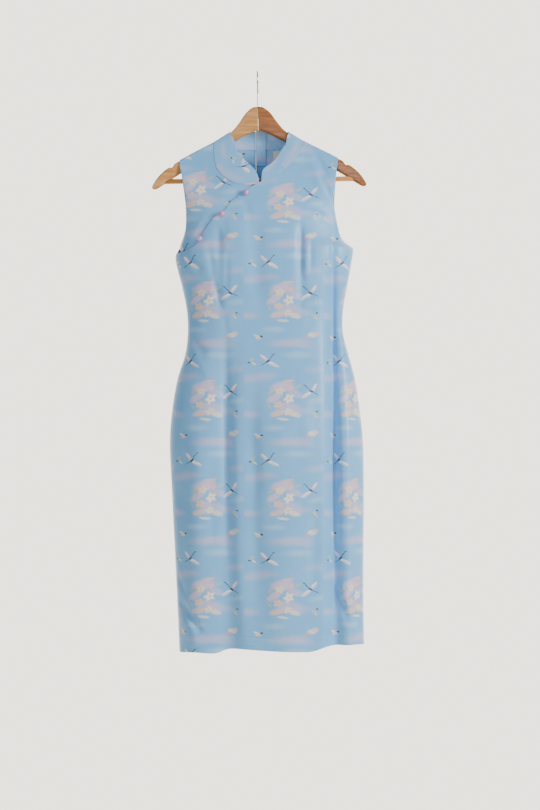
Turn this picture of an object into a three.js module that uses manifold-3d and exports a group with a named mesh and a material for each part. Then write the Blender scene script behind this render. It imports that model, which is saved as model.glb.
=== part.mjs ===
// A sleeveless satin cheongsam hanging on a contoured wooden hanger.
// Millimetres, +Z up, the front of the dress faces -Y, and the origin is the inner top of the hook.

import * as THREE from 'three';
import { mergeVertices } from 'three/addons/utils/BufferGeometryUtils.js';
import Module from 'manifold-3d';

const wasm = await Module();
wasm.setup();

// ---- driving sizes ----
const cloth = 1.2; // thickness of the satin with its turnings
const seam = 0.3; // gap left between neighbouring pieces
const lapStep = 2.6; // how far the under lap lies inside the front panel
const lapFade = 26; // distance over which the under lap comes back to the surface
const sideFlat = 2.6; // exponent of the flattened oval that a level section follows
const slitTop = -1025; // top of both side slits
const slitSpread = 2; // half the width of an open slit
const hangerTilt = THREE.MathUtils.degToRad(0.9); // the hanger hangs a little high at its +X end
const tiltShift = 2.4; // sideways shift that this tilt gives at the height of the arms
const armHalf = 6.5; // half the thickness of a hanger arm
const armBow = 22; // how far the arm tips curve forward
const armReach = 222; // half the length of the hanger
const clothOverArm = 1.7; // from the arm's top to the middle of the cloth on it
const overArmRadius = 8.2; // the bend of the cloth over the arm
const frontFall = 0.34; // how fast the front leaves the arm, per mm of drop
const backFall = 0.27;
const neckX = { left: -91.8, right: 93.5 };
const tipX = { left: -161.5, right: 167 };
const centreBackTop = -3.8;
const centreBackHem = 20;

// ---- short tables ----
// level sections of the hanging dress: side seams, and how far front and back stand off the middle
const sections = [
  { z: -1216, left: -162, right: 222, front: 58, back: 56 },
  { z: -1110, left: -166.5, right: 220.2, front: 62, back: 60 },
  { z: -1010, left: -171.5, right: 220.5, front: 66, back: 63 },
  { z: -880, left: -178, right: 221.5, front: 70, back: 67 },
  { z: -770, left: -182.6, right: 219.5, front: 72, back: 71 },
  { z: -700, left: -176.8, right: 212, front: 70, back: 72 },
  { z: -640, left: -166, right: 202.5, front: 64, back: 67 },
  { z: -590, left: -150.5, right: 189, front: 56, back: 57 },
  { z: -545, left: -145, right: 178, front: 51, back: 50 },
  { z: -500, left: -147, right: 178, front: 52, back: 48 },
  { z: -450, left: -157, right: 186.5, front: 60, back: 50.5 },
  { z: -400, left: -169.5, right: 195.5, front: 65.5, back: 52 },
  { z: -381.5, left: -170, right: 199, front: 66, back: 52.3 },
  { z: -370, left: -163.8, right: 200.2, front: 65.6, back: 52.2 },
  { z: -350, left: -155, right: 176, front: 64, back: 51 },
  { z: -310, left: -147.5, right: 162.5, front: 58, back: 46.5 },
  { z: -265, left: -149.2, right: 158.5, front: 49, back: 40 },
  { z: -212, left: -158.4, right: 163.6, front: 36, back: 31 },
  { z: -183, left: -161.5, right: 167, front: 26, back: 26 },
  { z: -140, left: -161.5, right: 167, front: 18, back: 24 },
];

// half the opening of an armhole, by height over the underarm
const armholeGap = [
  { rise: 0, gap: 0 }, { rise: 8, gap: 5 }, { rise: 18, gap: 10 }, { rise: 40, gap: 18 },
  { rise: 80, gap: 25 }, { rise: 125, gap: 24 }, { rise: 160, gap: 19 }, { rise: 200, gap: 9 },
];

// folds: a ridge or, with a negative depth, a valley, that runs from one height to another
const frontFolds = [
  { top: -700, xTop: -122, bottom: -1260, xBottom: -128, halfWidth: 26, depth: 6 },
  { top: -520, xTop: -66, bottom: -1260, xBottom: -58, halfWidth: 26, depth: -11 },
  { top: -600, xTop: 44, bottom: -1260, xBottom: 60, halfWidth: 48, depth: 8 },
  { top: -330, xTop: 157, bottom: -1260, xBottom: 160, halfWidth: 15, depth: -15 },
  { top: -640, xTop: 188, bottom: -1260, xBottom: 193, halfWidth: 14, depth: 7 },
  { top: -290, xTop: -6, bottom: -520, xBottom: 2, halfWidth: 20, depth: -6 },
  { top: -310, xTop: -80, bottom: -520, xBottom: -78, halfWidth: 9, depth: -5 },
  { top: -310, xTop: 88, bottom: -520, xBottom: 92, halfWidth: 9, depth: -5 },
];
const backFolds = [
  { top: -600, xTop: -110, bottom: -1260, xBottom: -118, halfWidth: 24, depth: -9 },
  { top: -520, xTop: -40, bottom: -1260, xBottom: -44, halfWidth: 34, depth: 7 },
  { top: -560, xTop: 60, bottom: -1260, xBottom: 74, halfWidth: 26, depth: -10 },
  { top: -640, xTop: 140, bottom: -1260, xBottom: 146, halfWidth: 30, depth: 7 },
  { top: -360, xTop: -78, bottom: -600, xBottom: -76, halfWidth: 9, depth: -5 },
  { top: -360, xTop: 96, bottom: -600, xBottom: 98, halfWidth: 9, depth: -5 },
];

const frontHem = [
  { x: -166, z: -1210 }, { x: -130, z: -1206 }, { x: -86, z: -1207 }, { x: -62, z: -1199 },
  { x: -40, z: -1197.5 }, { x: 16, z: -1200 }, { x: 84, z: -1202.5 }, { x: 114, z: -1202 },
  { x: 146, z: -1193 }, { x: 200, z: -1191 }, { x: 222, z: -1193 },
];
const backHem = [
  { x: -166, z: -1209 }, { x: -110, z: -1200 }, { x: -40, z: -1206 }, { x: 60, z: -1199 },
  { x: 140, z: -1205 }, { x: 222, z: -1194 },
];

// edges seen from the front, each from its lower end to its upper end
const openingEdge = [
  [-169.6, -381.5], [-149, -377], [-128, -367], [-116.5, -350], [-107, -334.5], [-95.5, -317],
  [-84.5, -306.5], [-67, -294.5], [-54.8, -277.5], [-33.5, -260], [-9.4, -243.5],
];
const neckFrontRight = [
  [-9.4, -243.5], [7.3, -235], [21.9, -232], [36.5, -224.5], [55.3, -209.5], [69.9, -194.5],
  [83.5, -177], [91.5, -160],
];
const neckFrontLeft = [
  [-6, -246], [-15.7, -242.5], [-47, -238.5], [-67.8, -226], [-84.5, -208.5], [-90.5, -186],
  [-91.6, -163.5],
];
const neckBackLeft = [[-3.8, -162], [-30, -161.5], [-60, -161], [-82, -161.5], [-91, -163.5]];
const neckBackRight = [[-3.8, -162], [30, -160.5], [60, -158], [84, -157.5], [92.5, -159.5]];
const lapEdge = [
  [-162, -373], [-148, -386], [-128, -385], [-102, -352], [-74, -319], [-40, -281], [-6, -246],
];
const armhole = {
  left: [
    [-169.6, -381.5], [-159, -362.3], [-149.4, -333.5], [-146.9, -295.3], [-149.4, -263.4],
    [-158.4, -212.2], [-161.3, -202],
  ],
  right: [
    [199.6, -370.2], [176.3, -352.7], [165.3, -320.8], [158, -282.6], [158.8, -253.8],
    [163.6, -212.2], [166.6, -197],
  ],
};
const armholeBackOut = 3.5; // the back armholes are cut a little wider

// top edge of the collar, from the front corner round the side to the centre back
const collarTop = {
  left: [
    [3.6, -40, -231], [-3.5, -36, -212], [-15.7, -32, -198.5], [-28.2, -28, -186], [-41, -22, -170],
    [-47, -16, -151], [-53, -11.5, -134],
  ],
  right: [
    [8.6, -40, -229], [10.9, -37, -210], [24, -32, -199], [36, -26, -187], [50, -18, -165.5],
    [59.5, -13.5, -149], [62.5, -11, -131],
  ],
};
const collarTopBack = {
  left: [[-54, 11, -125], [-38, 18, -122.5], [-4, 21, -122]],
  right: [[61, 11, -121.5], [40, 18, -121], [-3.4, 21, -122]],
};
const collarSide = { left: -57, right: 63.5 }; // where the collar's top crosses the hanger arms
const collarLift = { front: 1.7, back: 1.1 }; // from the neckline to the collar's lower edge
const collarClear = 0.7; // how much higher the collar's top passes over the arms

// outline of a hanger arm by distance from the middle
const armOutline = [
  { x: 0, top: -72.8, bottom: -122.7 }, { x: 12, top: -75, bottom: -126 },
  { x: 27, top: -87.7, bottom: -133 }, { x: 41, top: -107.5, bottom: -140.5 },
  { x: 56, top: -124.6, bottom: -148.5 }, { x: 92, top: -147, bottom: -169.5 },
  { x: 130, top: -167, bottom: -192 }, { x: 164, top: -185.5, bottom: -213 },
  { x: 175, top: -191.5, bottom: -220 }, { x: 180.5, top: -199, bottom: -223.5 },
  { x: 187, top: -199.5, bottom: -228 }, { x: 200, top: -209, bottom: -237 },
  { x: 212, top: -222, bottom: -244.5 }, { x: 219, top: -233, bottom: -245.5 },
  { x: 222, top: -238.5, bottom: -243.5 },
];

const buttons = [{ x: -22.7, z: -259.5 }, { x: -72, z: -303.5 }, { x: -116.6, z: -354 }];
const buttonRadius = 6;
const barRadius = 5.25;
const barEnd = 198;
const barZ = -229;
const wire = 1.7; // radius of the hook wire
const hookRadius = 20;
const stemTop = -47;
const stemBottom = -98;
const guard = { left: -3, right: 18, top: -120, bottom: -194 };
const label = { left: 33, right: 66, drop: 2.5, height: 23 };

const colours = {
  satin: 0x93c8ee, satinInside: 0xa9cdea, label: 0xe9dcc0, button: 0xc79ad6,
  paleWood: 0xc98b4c, darkWood: 0x9a5a2c, steel: 0xb8bcc2,
};

// ---- small helpers ----
const clamp = THREE.MathUtils.clamp;
const lerp = THREE.MathUtils.lerp;
const smooth = (value, low, high) => THREE.MathUtils.smoothstep(value, low, high);

// the value in one column of a table at a place between its rows, joined by smooth cubics
function lookUp(table, key, column, value) {
  const rising = table[0][key] < table[table.length - 1][key];
  const rows = rising ? table : [...table].reverse();
  const place = clamp(value, rows[0][key], rows[rows.length - 1][key]);
  let index = 0;
  while (index < rows.length - 2 && place > rows[index + 1][key]) {
    index += 1;
  }
  const slope = (i) => {
    const a = rows[Math.max(i - 1, 0)];
    const b = rows[Math.min(i + 1, rows.length - 1)];
    return (b[column] - a[column]) / (b[key] - a[key]);
  };
  const from = rows[index];
  const to = rows[index + 1];
  const span = to[key] - from[key];
  const t = (place - from[key]) / span;
  const h00 = 2 * t ** 3 - 3 * t ** 2 + 1;
  const h10 = t ** 3 - 2 * t ** 2 + t;
  const h01 = 3 * t ** 2 - 2 * t ** 3;
  const h11 = t ** 3 - t ** 2;
  return h00 * from[column] + h10 * span * slope(index)
    + h01 * to[column] + h11 * span * slope(index + 1);
}

function softMin(a, b, blend) {
  const h = clamp(0.5 + (b - a) / (2 * blend), 0, 1);
  return lerp(b, a, h) - blend * h * (1 - h);
}

// evenly spaced points along a smooth curve through an edge's points
function along(points, steps, withFirst = true) {
  const curve = new THREE.CatmullRomCurve3(
    points.map(([x, z]) => new THREE.Vector3(x, 0, z)), false, 'centripetal');
  const places = curve.getSpacedPoints(steps).map((point) => [point.x, point.z]);
  return withFirst ? places : places.slice(1);
}

function along3(points, steps) {
  const curve = new THREE.CatmullRomCurve3(
    points.map(([x, y, z]) => new THREE.Vector3(x, y, z)), false, 'centripetal');
  return curve.getSpacedPoints(steps);
}

// ---- the form of the dress ----
const arm = (x) => Math.abs(x - tiltShift);
const armTop = (x) => lookUp(armOutline, 'x', 'top', arm(x)) + x * Math.tan(hangerTilt);
const armForward = (x) => -armBow * (arm(x) / armReach) ** 2;
const shoulderLine = (x) => armTop(x) + clothOverArm;
const centreBack = (z) => lerp(centreBackTop, centreBackHem, smooth(-z, 160, 620));
const underarm = { left: armhole.left[0][1], right: armhole.right[0][1] };

function foldDepth(folds, x, z) {
  return folds.reduce((sum, fold) => {
    const drop = (fold.top - z) / (fold.top - fold.bottom);
    if (drop <= 0 || drop >= 1) {
      return sum;
    }
    const centre = lerp(fold.xTop, fold.xBottom, drop);
    const across = Math.exp(-(((x - centre) / fold.halfWidth) ** 2));
    const fade = smooth(drop, 0, 0.22) * (fold.bottom < slitTop ? 1 : smooth(1 - drop, 0, 0.35));
    return sum + fold.depth * across * fade;
  }, 0);
}

// distance of the cloth from the middle plane on one side of the dress
function standOff(side, x, z) {
  const left = lookUp(sections, 'z', 'left', z);
  const right = lookUp(sections, 'z', 'right', z);
  const across = clamp((x - left) / (right - left), 0, 1);
  const gapLeft = lookUp(armholeGap, 'rise', 'gap', z - underarm.left);
  const gapRight = lookUp(armholeGap, 'rise', 'gap', z - underarm.right);
  const gap = lerp(gapLeft, gapRight, across);
  const round = lerp(0.5, 0.85, smooth(z, -385, -300));
  const oval = Math.max(1 - Math.abs(2 * across - 1) ** sideFlat, 0) ** round;
  const middle = lookUp(sections, 'z', side, z);
  const body = gap + (middle - gap) * oval + foldDepth(side === 'front' ? frontFolds : backFolds, x, z)
    * Math.min(oval * 1.6, 1);
  const below = shoulderLine(x) - z;
  const bend = overArmRadius * Math.sqrt(1 - (1 - clamp(below / overArmRadius, 0, 1)) ** 2);
  const fall = side === 'front' ? frontFall : backFall;
  return softMin(Math.max(body, 0), bend + fall * Math.max(below - overArmRadius, 0), 5);
}

// how much deeper a step square to the cloth is when it is measured straight to the back
function steepness(side, x, z) {
  const reach = 4;
  const across = (standOff(side, x + reach, z) - standOff(side, x - reach, z)) / (2 * reach);
  const up = (standOff(side, x, z + reach) - standOff(side, x, z - reach)) / (2 * reach);
  return Math.min(Math.hypot(1, across, up), 2.5);
}

// a point of the dress at a place seen from the front, with its side, and how far inside it lies
function surfacePoint(side, x, z, inside = 0) {
  const middle = armForward(x) * (1 - smooth(shoulderLine(x) - z, 20, 150));
  const sign = side === 'front' ? -1 : 1;
  const spread = z < slitTop ? slitSpread * smooth(slitTop - z, 0, 60) : 0;
  const inset = inside > 0 ? inside * steepness(side, x, z) : 0;
  const off = Math.max(standOff(side, x, z) - inset, 0) + seam / 2 + spread;
  return new THREE.Vector3(x, middle + sign * off, z);
}

// ---- closed shells from a grid of points ----
// rows of points across the piece; each gets the cloth's thickness, half to each side
function shell(rows, { thickness = cloth, flatten = () => null, flip = false } = {}) {
  const last = rows.length - 1;
  const width = rows[0].length;
  const normals = rows.map((row, i) => row.map((point, j) => {
    const across = new THREE.Vector3().subVectors(
      row[Math.min(j + 1, width - 1)], row[Math.max(j - 1, 0)]);
    const up = new THREE.Vector3().subVectors(
      rows[Math.min(i + 1, last)][j], rows[Math.max(i - 1, 0)][j]);
    const normal = new THREE.Vector3().crossVectors(across, up);
    const plane = flatten(i, j);
    if (plane) {
      normal[plane] = 0;
    }
    return normal.normalize().multiplyScalar(flip ? -1 : 1);
  }));
  const positions = [];
  const place = (side) => rows.forEach((row, i) => row.forEach((point, j) => {
    const moved = point.clone().addScaledVector(normals[i][j], side * thickness / 2);
    positions.push(moved.x, moved.y, moved.z);
  }));
  place(1);
  place(-1);
  const indices = [];
  const quad = (a, b, c, d) => {
    indices.push(...(flip ? [a, c, b, a, d, c] : [a, b, c, a, c, d]));
  };
  const inner = rows.length * width;
  const at = (i, j) => i * width + j;
  for (let i = 0; i < last; i += 1) {
    for (let j = 0; j < width - 1; j += 1) {
      quad(at(i, j), at(i, j + 1), at(i + 1, j + 1), at(i + 1, j));
      quad(inner + at(i, j), inner + at(i + 1, j), inner + at(i + 1, j + 1), inner + at(i, j + 1));
    }
    quad(at(i, 0), at(i + 1, 0), inner + at(i + 1, 0), inner + at(i, 0));
    const end = width - 1;
    quad(at(i + 1, end), at(i, end), inner + at(i, end), inner + at(i + 1, end));
  }
  for (let j = 0; j < width - 1; j += 1) {
    quad(at(0, j + 1), at(0, j), inner + at(0, j), inner + at(0, j + 1));
    quad(at(last, j), at(last, j + 1), inner + at(last, j + 1), inner + at(last, j));
  }
  const geometry = new THREE.BufferGeometry();
  geometry.setAttribute('position', new THREE.Float32BufferAttribute(positions, 3));
  geometry.setIndex(indices);
  return geometry;
}

const group = new THREE.Group();

function addMesh(name, geometry, color, roughness = 0.55, metalness = 0) {
  const mesh = new THREE.Mesh(geometry, new THREE.MeshStandardMaterial({ color, roughness, metalness }));
  mesh.name = name;
  group.add(mesh);
  return mesh;
}

// ---- panels ----
// heights of the rows of both side seams, closest where the outline turns
const sideHeights = [
  -1216, -1150, -1085, -1025, -960, -890, -820, -760, -705, -655, -610, -570, -530, -490, -450, -412,
];
const shoulderSteps = [9, 4.4, 1.6, 0]; // last rows, by drop below the shoulder line
const sideEdge = (side) => sideHeights.map((z) => [lookUp(sections, 'z', side, z), z]);

// a row from one edge point to another; a row with a drop follows the shoulder line
const shoulderRow = (from, to) => shoulderSteps.map((drop) => ({ from, to, drop }));
const plainRows = (left, right) => left.map((point, i) => ({ left: point, right: right[i] }));

function rowPoint(row, share) {
  if (row.drop !== undefined) {
    const x = lerp(row.from, row.to, share);
    return [x, shoulderLine(x) - row.drop];
  }
  return [lerp(row.left[0], row.right[0], share), lerp(row.left[1], row.right[1], share)];
}

// the hem line replaces the lowest row, and the rows over it move with it less and less
function hemmed(hem, x, z) {
  const lowest = sideHeights[0];
  const lift = lookUp(hem, 'x', 'z', x) - lowest;
  return z + lift * (1 - smooth(z, lowest, slitTop));
}

const bothSides = (share) => lerp(share, (1 - Math.cos(Math.PI * share)) / 2, 0.85);
const fromLeft = (share) => lerp(share, 1 - Math.cos(Math.PI * share / 2), 0.85);
const fromRight = (share) => lerp(share, Math.sin(Math.PI * share / 2), 0.85);

function panel(side, rows, columns, spacing, hem, options = {}) {
  const points = rows.map((row) => {
    const places = [];
    for (let j = 0; j <= columns; j += 1) {
      const [x, z] = rowPoint(row, spacing(j / columns));
      places.push(surfacePoint(side, x, hem ? hemmed(hem, x, z) : z));
    }
    return places;
  });
  return shell(points, { flip: side === 'back', ...options });
}

const sideRows = sideHeights.length;
const openingSteps = 7;
const neckSteps = 6;
const upperSteps = openingSteps + neckSteps;

// front: from the hem up to the curved opening on its -X side, the neckline and the other shoulder
const frontLeftEdge = [
  ...sideEdge('left'), ...along(openingEdge, openingSteps), ...along(neckFrontRight, neckSteps, false),
];
const frontRightEdge = [...sideEdge('right'), ...along(armhole.right, upperSteps)];
const frontRows = [...plainRows(frontLeftEdge, frontRightEdge), ...shoulderRow(neckX.right, tipX.right)];
const frontColumns = 24;
const frontPlane = (i, j) => {
  const onSide = i <= sideRows && (j === 0 || j === frontColumns);
  return onSide || i === frontRows.length - 1 ? 'y' : null;
};
addMesh('front', panel('front', frontRows, frontColumns, bothSides, frontHem, { flatten: frontPlane }),
  colours.satin);

// back halves: from the side seam and armhole to the centre back seam and neckline
const backNeckSteps = 5;
const backArmSteps = 9;
const centreHeights = [-360, -330, -300, -270, -243, -216, -198, -180];

function backEdges(side) {
  const out = side === 'left' ? -armholeBackOut : armholeBackOut;
  const hole = along(armhole[side], centreHeights.length + backNeckSteps)
    .map(([x, z], i) => [x + out * Math.sin(Math.PI * Math.min(i / backArmSteps, 1)), z]);
  const gapSide = side === 'left' ? -seam / 2 : seam / 2;
  const outer = [...sideEdge(side), ...hole];
  const inner = [...sideHeights, ...centreHeights].map((z) => [centreBack(z) + gapSide, z]);
  const neck = along(side === 'left' ? neckBackLeft : neckBackRight, backNeckSteps)
    .map(([x, z], i) => [i === 0 ? centreBack(z) + gapSide : x, z]);
  return { outer, inner: [...inner, ...neck] };
}

for (const side of ['left', 'right']) {
  const { outer, inner } = backEdges(side);
  const columns = 12;
  const isLeft = side === 'left';
  const rows = [
    ...(isLeft ? plainRows(outer, inner) : plainRows(inner, outer)),
    ...(isLeft ? shoulderRow(tipX.left, neckX.left) : shoulderRow(neckX.right, tipX.right)),
  ];
  const sideColumn = isLeft ? 0 : columns;
  const centreRows = sideRows + centreHeights.length;
  const plane = (i, j) => {
    if (j === columns - sideColumn && i <= centreRows) {
      return 'x';
    }
    return (j === sideColumn && i <= sideRows) || i === rows.length - 1 ? 'y' : null;
  };
  addMesh(`back_${side}`, panel('back', rows, columns, isLeft ? fromLeft : fromRight, backHem,
    { flatten: plane }), isLeft ? 0x8fc2ea : 0x89bde6);
}

// under lap: the upper front on the -X side, which runs on under the front panel
function distanceToOpening(x, z) {
  const edge = along(openingEdge, 24);
  return Math.min(...edge.map(([ex, ez]) => Math.hypot(ex - x, ez - z)));
}

function lapInside(x, z) {
  const edge = along(openingEdge, 24);
  const nearest = edge.reduce((best, spot) => (Math.abs(spot[0] - x) < Math.abs(best[0] - x) ? spot : best));
  const step = lapStep * (1 + smooth(-x, 70, 130));
  if (z < nearest[1]) {
    return step;
  }
  return step * (1 - smooth(distanceToOpening(x, z), 3, lapFade));
}

const lapColumns = 10;
const lapSteps = 7;
const lapLeft = [...along([lapEdge[0], ...armhole.left.slice(1)], lapSteps)];
const lapRight = [...along(neckFrontLeft, lapSteps)];
const lapBottom = along(lapEdge, lapColumns);
const lapRows = [...plainRows(lapLeft, lapRight), ...shoulderRow(tipX.left, neckX.left)];
const lapPoints = lapRows.map((row, i) => {
  const places = [];
  const fade = Math.max(1 - i / lapSteps, 0);
  for (let j = 0; j <= lapColumns; j += 1) {
    const share = j / lapColumns;
    const [x, z] = rowPoint(row, share);
    const [chordX, chordZ] = rowPoint(lapRows[0], share);
    const px = x + (lapBottom[j][0] - chordX) * fade;
    const pz = z + (lapBottom[j][1] - chordZ) * fade;
    places.push(surfacePoint('front', px, pz, lapInside(px, pz)));
  }
  return places;
});
addMesh('under_lap', shell(lapPoints, { flatten: (i) => (i === lapRows.length - 1 ? 'y' : null) }),
  0x9fd2f4);

// ---- collar ----
// each half stands on its neckline from the centre front round the side to the centre back
function collarHalf(side) {
  const isLeft = side === 'left';
  const rows = 3;
  const frontSteps = isLeft ? lapSteps : neckSteps;
  const frontLine = isLeft ? [[3.2, -237.2], ...neckFrontLeft.slice(1)] : neckFrontRight.slice(1);
  const frontBase = along(frontLine, frontSteps).map(([x, z]) => surfacePoint('front', x, z));
  const backBase = along(isLeft ? neckBackLeft : neckBackRight, backNeckSteps)
    .map(([x, z]) => surfacePoint('back', x, z)).reverse();
  const sidePoints = (face) => shoulderSteps
    .map((drop) => surfacePoint(face, neckX[side], shoulderLine(neckX[side]) - drop));
  const sideTopX = collarSide[side];
  const sideTops = (face) => shoulderSteps
    .map((drop) => surfacePoint(face, sideTopX, shoulderLine(sideTopX) - drop))
    .map((point) => point.setZ(point.z + collarClear));
  const base = [
    ...frontBase, ...sidePoints('front').slice(0, -1),
    new THREE.Vector3(neckX[side], armForward(neckX[side]), shoulderLine(neckX[side])),
    ...sidePoints('back').slice(0, -1).reverse(), ...backBase,
  ];
  const top = [
    ...along3(collarTop[side], frontSteps), ...sideTops('front').slice(0, -1),
    new THREE.Vector3(sideTopX, armForward(sideTopX), shoulderLine(sideTopX) + collarClear),
    ...sideTops('back').slice(0, -1).reverse(), ...along3(collarTopBack[side], backNeckSteps),
  ];
  const gapSide = isLeft ? -seam / 2 : seam / 2;
  base[base.length - 1].x = centreBackTop + gapSide;
  top[top.length - 1].x = centreBackTop + gapSide;
  const grid = [];
  for (let i = 0; i <= rows; i += 1) {
    grid.push(base.map((foot, j) => {
      const rise = new THREE.Vector3().subVectors(top[j], foot);
      const lift = j < base.length - backNeckSteps - 1 ? collarLift.front : collarLift.back;
      const start = foot.clone().addScaledVector(rise.clone().normalize(), lift);
      return start.lerp(top[j], i / rows);
    }));
  }
  const plane = (i, j) => (j === base.length - 1 ? 'x' : null);
  return shell(grid, { flip: !isLeft ? false : true, flatten: plane });
}
addMesh('collar_left', collarHalf('left'), 0xa6d4f2);
addMesh('collar_right', collarHalf('right'), 0x9bcbee);

// ---- zip guard and label inside the back ----
// a small flat piece held just inside the back, wide and high as given
function insidePiece(edges, rowsOfZ, inset, thickness) {
  const columns = 3;
  const grid = rowsOfZ.map(({ z, y }) => {
    const places = [];
    for (let j = 0; j <= columns; j += 1) {
      const x = lerp(edges.left, edges.right, j / columns);
      const depth = y === undefined ? surfacePoint('back', x, z, inset).y : y - inset;
      places.push(new THREE.Vector3(x, depth, z));
    }
    return places;
  });
  return shell(grid, { thickness });
}
const seamY = surfacePoint('back', centreBackTop, neckBackLeft[0][1]).y;
const guardRows = [
  { z: guard.bottom }, { z: -178 }, { z: -163, y: seamY }, { z: -150, y: lerp(seamY, 21, 0.3) },
  { z: -135, y: lerp(seamY, 21, 0.67) }, { z: guard.top, y: 21 },
];
addMesh('zip_guard', insidePiece(guard, guardRows, 2.6, cloth), 0xb9c3ea);
const labelTop = -161 - label.drop;
const labelRows = [{ z: labelTop - label.height }, { z: labelTop - label.height / 2 }, { z: labelTop }];
addMesh('label', insidePiece(label, labelRows, 3.2, 1), colours.label, 0.7);

// ---- ball buttons on the edge of the opening ----
const ballProfile = [];
const ballRings = 7;
for (let i = 0; i <= ballRings; i += 1) {
  const angle = lerp(-0.38, 0.5, i / ballRings) * Math.PI;
  ballProfile.push(new THREE.Vector2(buttonRadius * Math.cos(angle), buttonRadius * Math.sin(angle)));
}
ballProfile.unshift(new THREE.Vector2(0, ballProfile[0].y));
ballProfile[ballProfile.length - 1].x = 0;
buttons.forEach(({ x, z }, index) => {
  const here = surfacePoint('front', x, z);
  const step = 4;
  const across = new THREE.Vector3().subVectors(
    surfacePoint('front', x + step, z), surfacePoint('front', x - step, z));
  const up = new THREE.Vector3().subVectors(
    surfacePoint('front', x, z + step), surfacePoint('front', x, z - step));
  const out = new THREE.Vector3().crossVectors(across, up).normalize();
  const ball = new THREE.LatheGeometry(ballProfile, 14);
  ball.deleteAttribute('uv');
  ball.deleteAttribute('normal');
  const mesh = addMesh(`button_${index + 1}`, mergeVertices(ball, 1e-3), colours.button, 0.35);
  const stand = cloth / 2 + 4 * seam - ballProfile[0].y;
  mesh.position.copy(here).addScaledVector(out, stand);
  mesh.quaternion.setFromUnitVectors(new THREE.Vector3(0, 1, 0), out);
});

// ---- hanger ----
function toManifold(geometry) {
  const bare = geometry.clone();
  bare.deleteAttribute('uv');
  bare.deleteAttribute('normal');
  const merged = mergeVertices(bare, 1e-3);
  return new wasm.Manifold(new wasm.Mesh({
    numProp: 3,
    vertProperties: new Float32Array(merged.attributes.position.array),
    triVerts: new Uint32Array(merged.index.array),
  }));
}

function fromManifold(solid) {
  const { vertProperties, triVerts } = solid.getMesh();
  const geometry = new THREE.BufferGeometry();
  geometry.setAttribute('position', new THREE.BufferAttribute(vertProperties, 3));
  geometry.setIndex(new THREE.BufferAttribute(triVerts, 1));
  return geometry;
}

// one arm: rounded sections that follow its outline and bow forward
function hangerArm(sign) {
  const corners = 12;
  const rings = armOutline.map(({ x, top, bottom }, station) => {
    const middle = (top + bottom) / 2;
    const half = (top - bottom) / 2;
    const thick = armHalf * (station === armOutline.length - 1 ? 0.55 : 1);
    const round = Math.min(thick, half);
    const place = station === 0 ? seam / 2 : x;
    const ring = [];
    for (let k = 0; k < corners; k += 1) {
      const angle = (2 * Math.PI * k) / corners;
      const rise = Math.sin(angle);
      const z = middle + Math.sign(Math.round(rise * 1e6)) * (half - round) + round * rise;
      const y = -armBow * (x / armReach) ** 2 + thick * Math.cos(angle);
      ring.push([sign * place, y, z]);
    }
    return ring;
  });
  const positions = rings.flat(2);
  const indices = [];
  const tri = (a, b, c) => indices.push(...(sign > 0 ? [a, b, c] : [a, c, b]));
  for (let i = 0; i < rings.length - 1; i += 1) {
    for (let k = 0; k < corners; k += 1) {
      const next = (k + 1) % corners;
      const a = i * corners + k;
      const b = i * corners + next;
      tri(a, b, b + corners);
      tri(a, b + corners, a + corners);
    }
  }
  const end = (rings.length - 1) * corners;
  for (let k = 1; k < corners - 1; k += 1) {
    tri(0, k + 1, k);
    tri(end, end + k, end + k + 1);
  }
  const geometry = new THREE.BufferGeometry();
  geometry.setAttribute('position', new THREE.Float32BufferAttribute(positions, 3));
  geometry.setIndex(indices);
  return geometry;
}

const hanger = new THREE.Group();
hanger.rotation.y = -hangerTilt;
group.add(hanger);

const barY = -armBow * (barEnd / armReach) ** 2;
const sides = 16;
const barBore = new THREE.CylinderGeometry(barRadius + seam, barRadius + seam, 2 * (barEnd + seam), sides);
barBore.rotateZ(Math.PI / 2);
barBore.translate(0, barY, barZ);
const stemBore = new THREE.CylinderGeometry(wire + seam, wire + seam, 60, 8);
stemBore.translate(0, 0, 0);
stemBore.rotateX(Math.PI / 2);
stemBore.translate(0, 0, stemBottom - seam + 30);

function addToHanger(name, geometry, color, roughness, metalness) {
  const mesh = addMesh(name, geometry, color, roughness, metalness);
  hanger.add(mesh);
}

for (const [side, sign, color] of [['left', -1, colours.paleWood], ['right', 1, colours.darkWood]]) {
  const bored = toManifold(hangerArm(sign)).subtract(toManifold(barBore)).subtract(toManifold(stemBore));
  addToHanger(`hanger_${side}`, fromManifold(bored), color, 0.45, 0);
}
const bar = new THREE.CylinderGeometry(barRadius, barRadius, 2 * barEnd, sides);
bar.rotateZ(Math.PI / 2);
bar.translate(0, barY, barZ);
bar.deleteAttribute('uv');
bar.deleteAttribute('normal');
addToHanger('hanger_bar', mergeVertices(bar, 1e-3), colours.paleWood, 0.5, 0);

// hook: from its back tip over the rail, down the front and into the stem
const hookCentre = wire - hookRadius;
const hookPath = new THREE.CurvePath();
const hookPoints = [];
for (let degrees = -105; degrees <= 120; degrees += 22.5) {
  const turn = THREE.MathUtils.degToRad(degrees);
  hookPoints.push(new THREE.Vector3(0, -hookRadius * Math.sin(turn), hookCentre + hookRadius * Math.cos(turn)));
}
hookPoints.push(new THREE.Vector3(0, -1.5, stemTop + 5));
hookPoints.push(new THREE.Vector3(0, 0, stemTop - 3));
const hookCurve = new THREE.CatmullRomCurve3(hookPoints, false, 'centripetal');
hookPath.add(hookCurve);
hookPath.add(new THREE.LineCurve3(hookPoints[hookPoints.length - 1], new THREE.Vector3(0, 0, stemBottom)));
const round = new THREE.Shape();
for (let k = 0; k < 8; k += 1) {
  const angle = (2 * Math.PI * k) / 8;
  const corner = [wire * Math.cos(angle), wire * Math.sin(angle)];
  if (k === 0) {
    round.moveTo(...corner);
  } else {
    round.lineTo(...corner);
  }
}
const hook = new THREE.ExtrudeGeometry(round, { steps: 34, extrudePath: hookPath, bevelEnabled: false });
hook.deleteAttribute('uv');
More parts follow.
